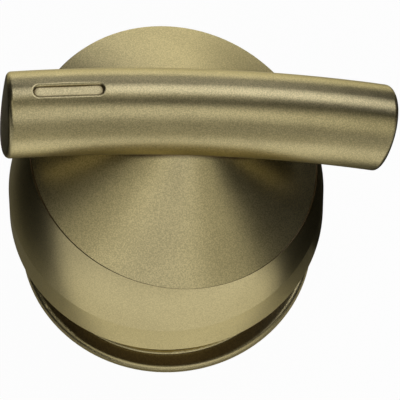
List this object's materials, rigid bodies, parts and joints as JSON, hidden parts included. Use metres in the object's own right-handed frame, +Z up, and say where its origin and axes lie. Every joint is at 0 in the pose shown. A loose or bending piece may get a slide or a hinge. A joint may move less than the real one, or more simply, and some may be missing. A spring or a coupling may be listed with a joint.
{
  "type": "tap handle",
  "caption": "Tap handle with a bowed lever bar across a leaning cone, on a domed hub skirt over a flanged sleeve, with a splined stem socket underneath.",
  "frame": {"origin": "centre of the stem socket's mouth, in the plane of the flange's underside", "axes": "+Z up the hub axis, away from the valve; +X towards the low side of the slanted seam; the bar runs along X"},
  "size_m": [0.0747, 0.06, 0.0692],
  "materials": {
    "lever_bronze": "satin champagne bronze, fine grain",
    "skirt_bronze": "satin champagne bronze, fine grain",
    "sleeve_bronze": "satin champagne bronze, fine grain",
    "screw_steel": "plain steel"
  },
  "bodies": {
    "root": {"lever": "lever_bronze", "hub_skirt": "skirt_bronze", "base_sleeve": "sleeve_bronze", "set_screw": "screw_steel"}
  },
  "joints": []
}
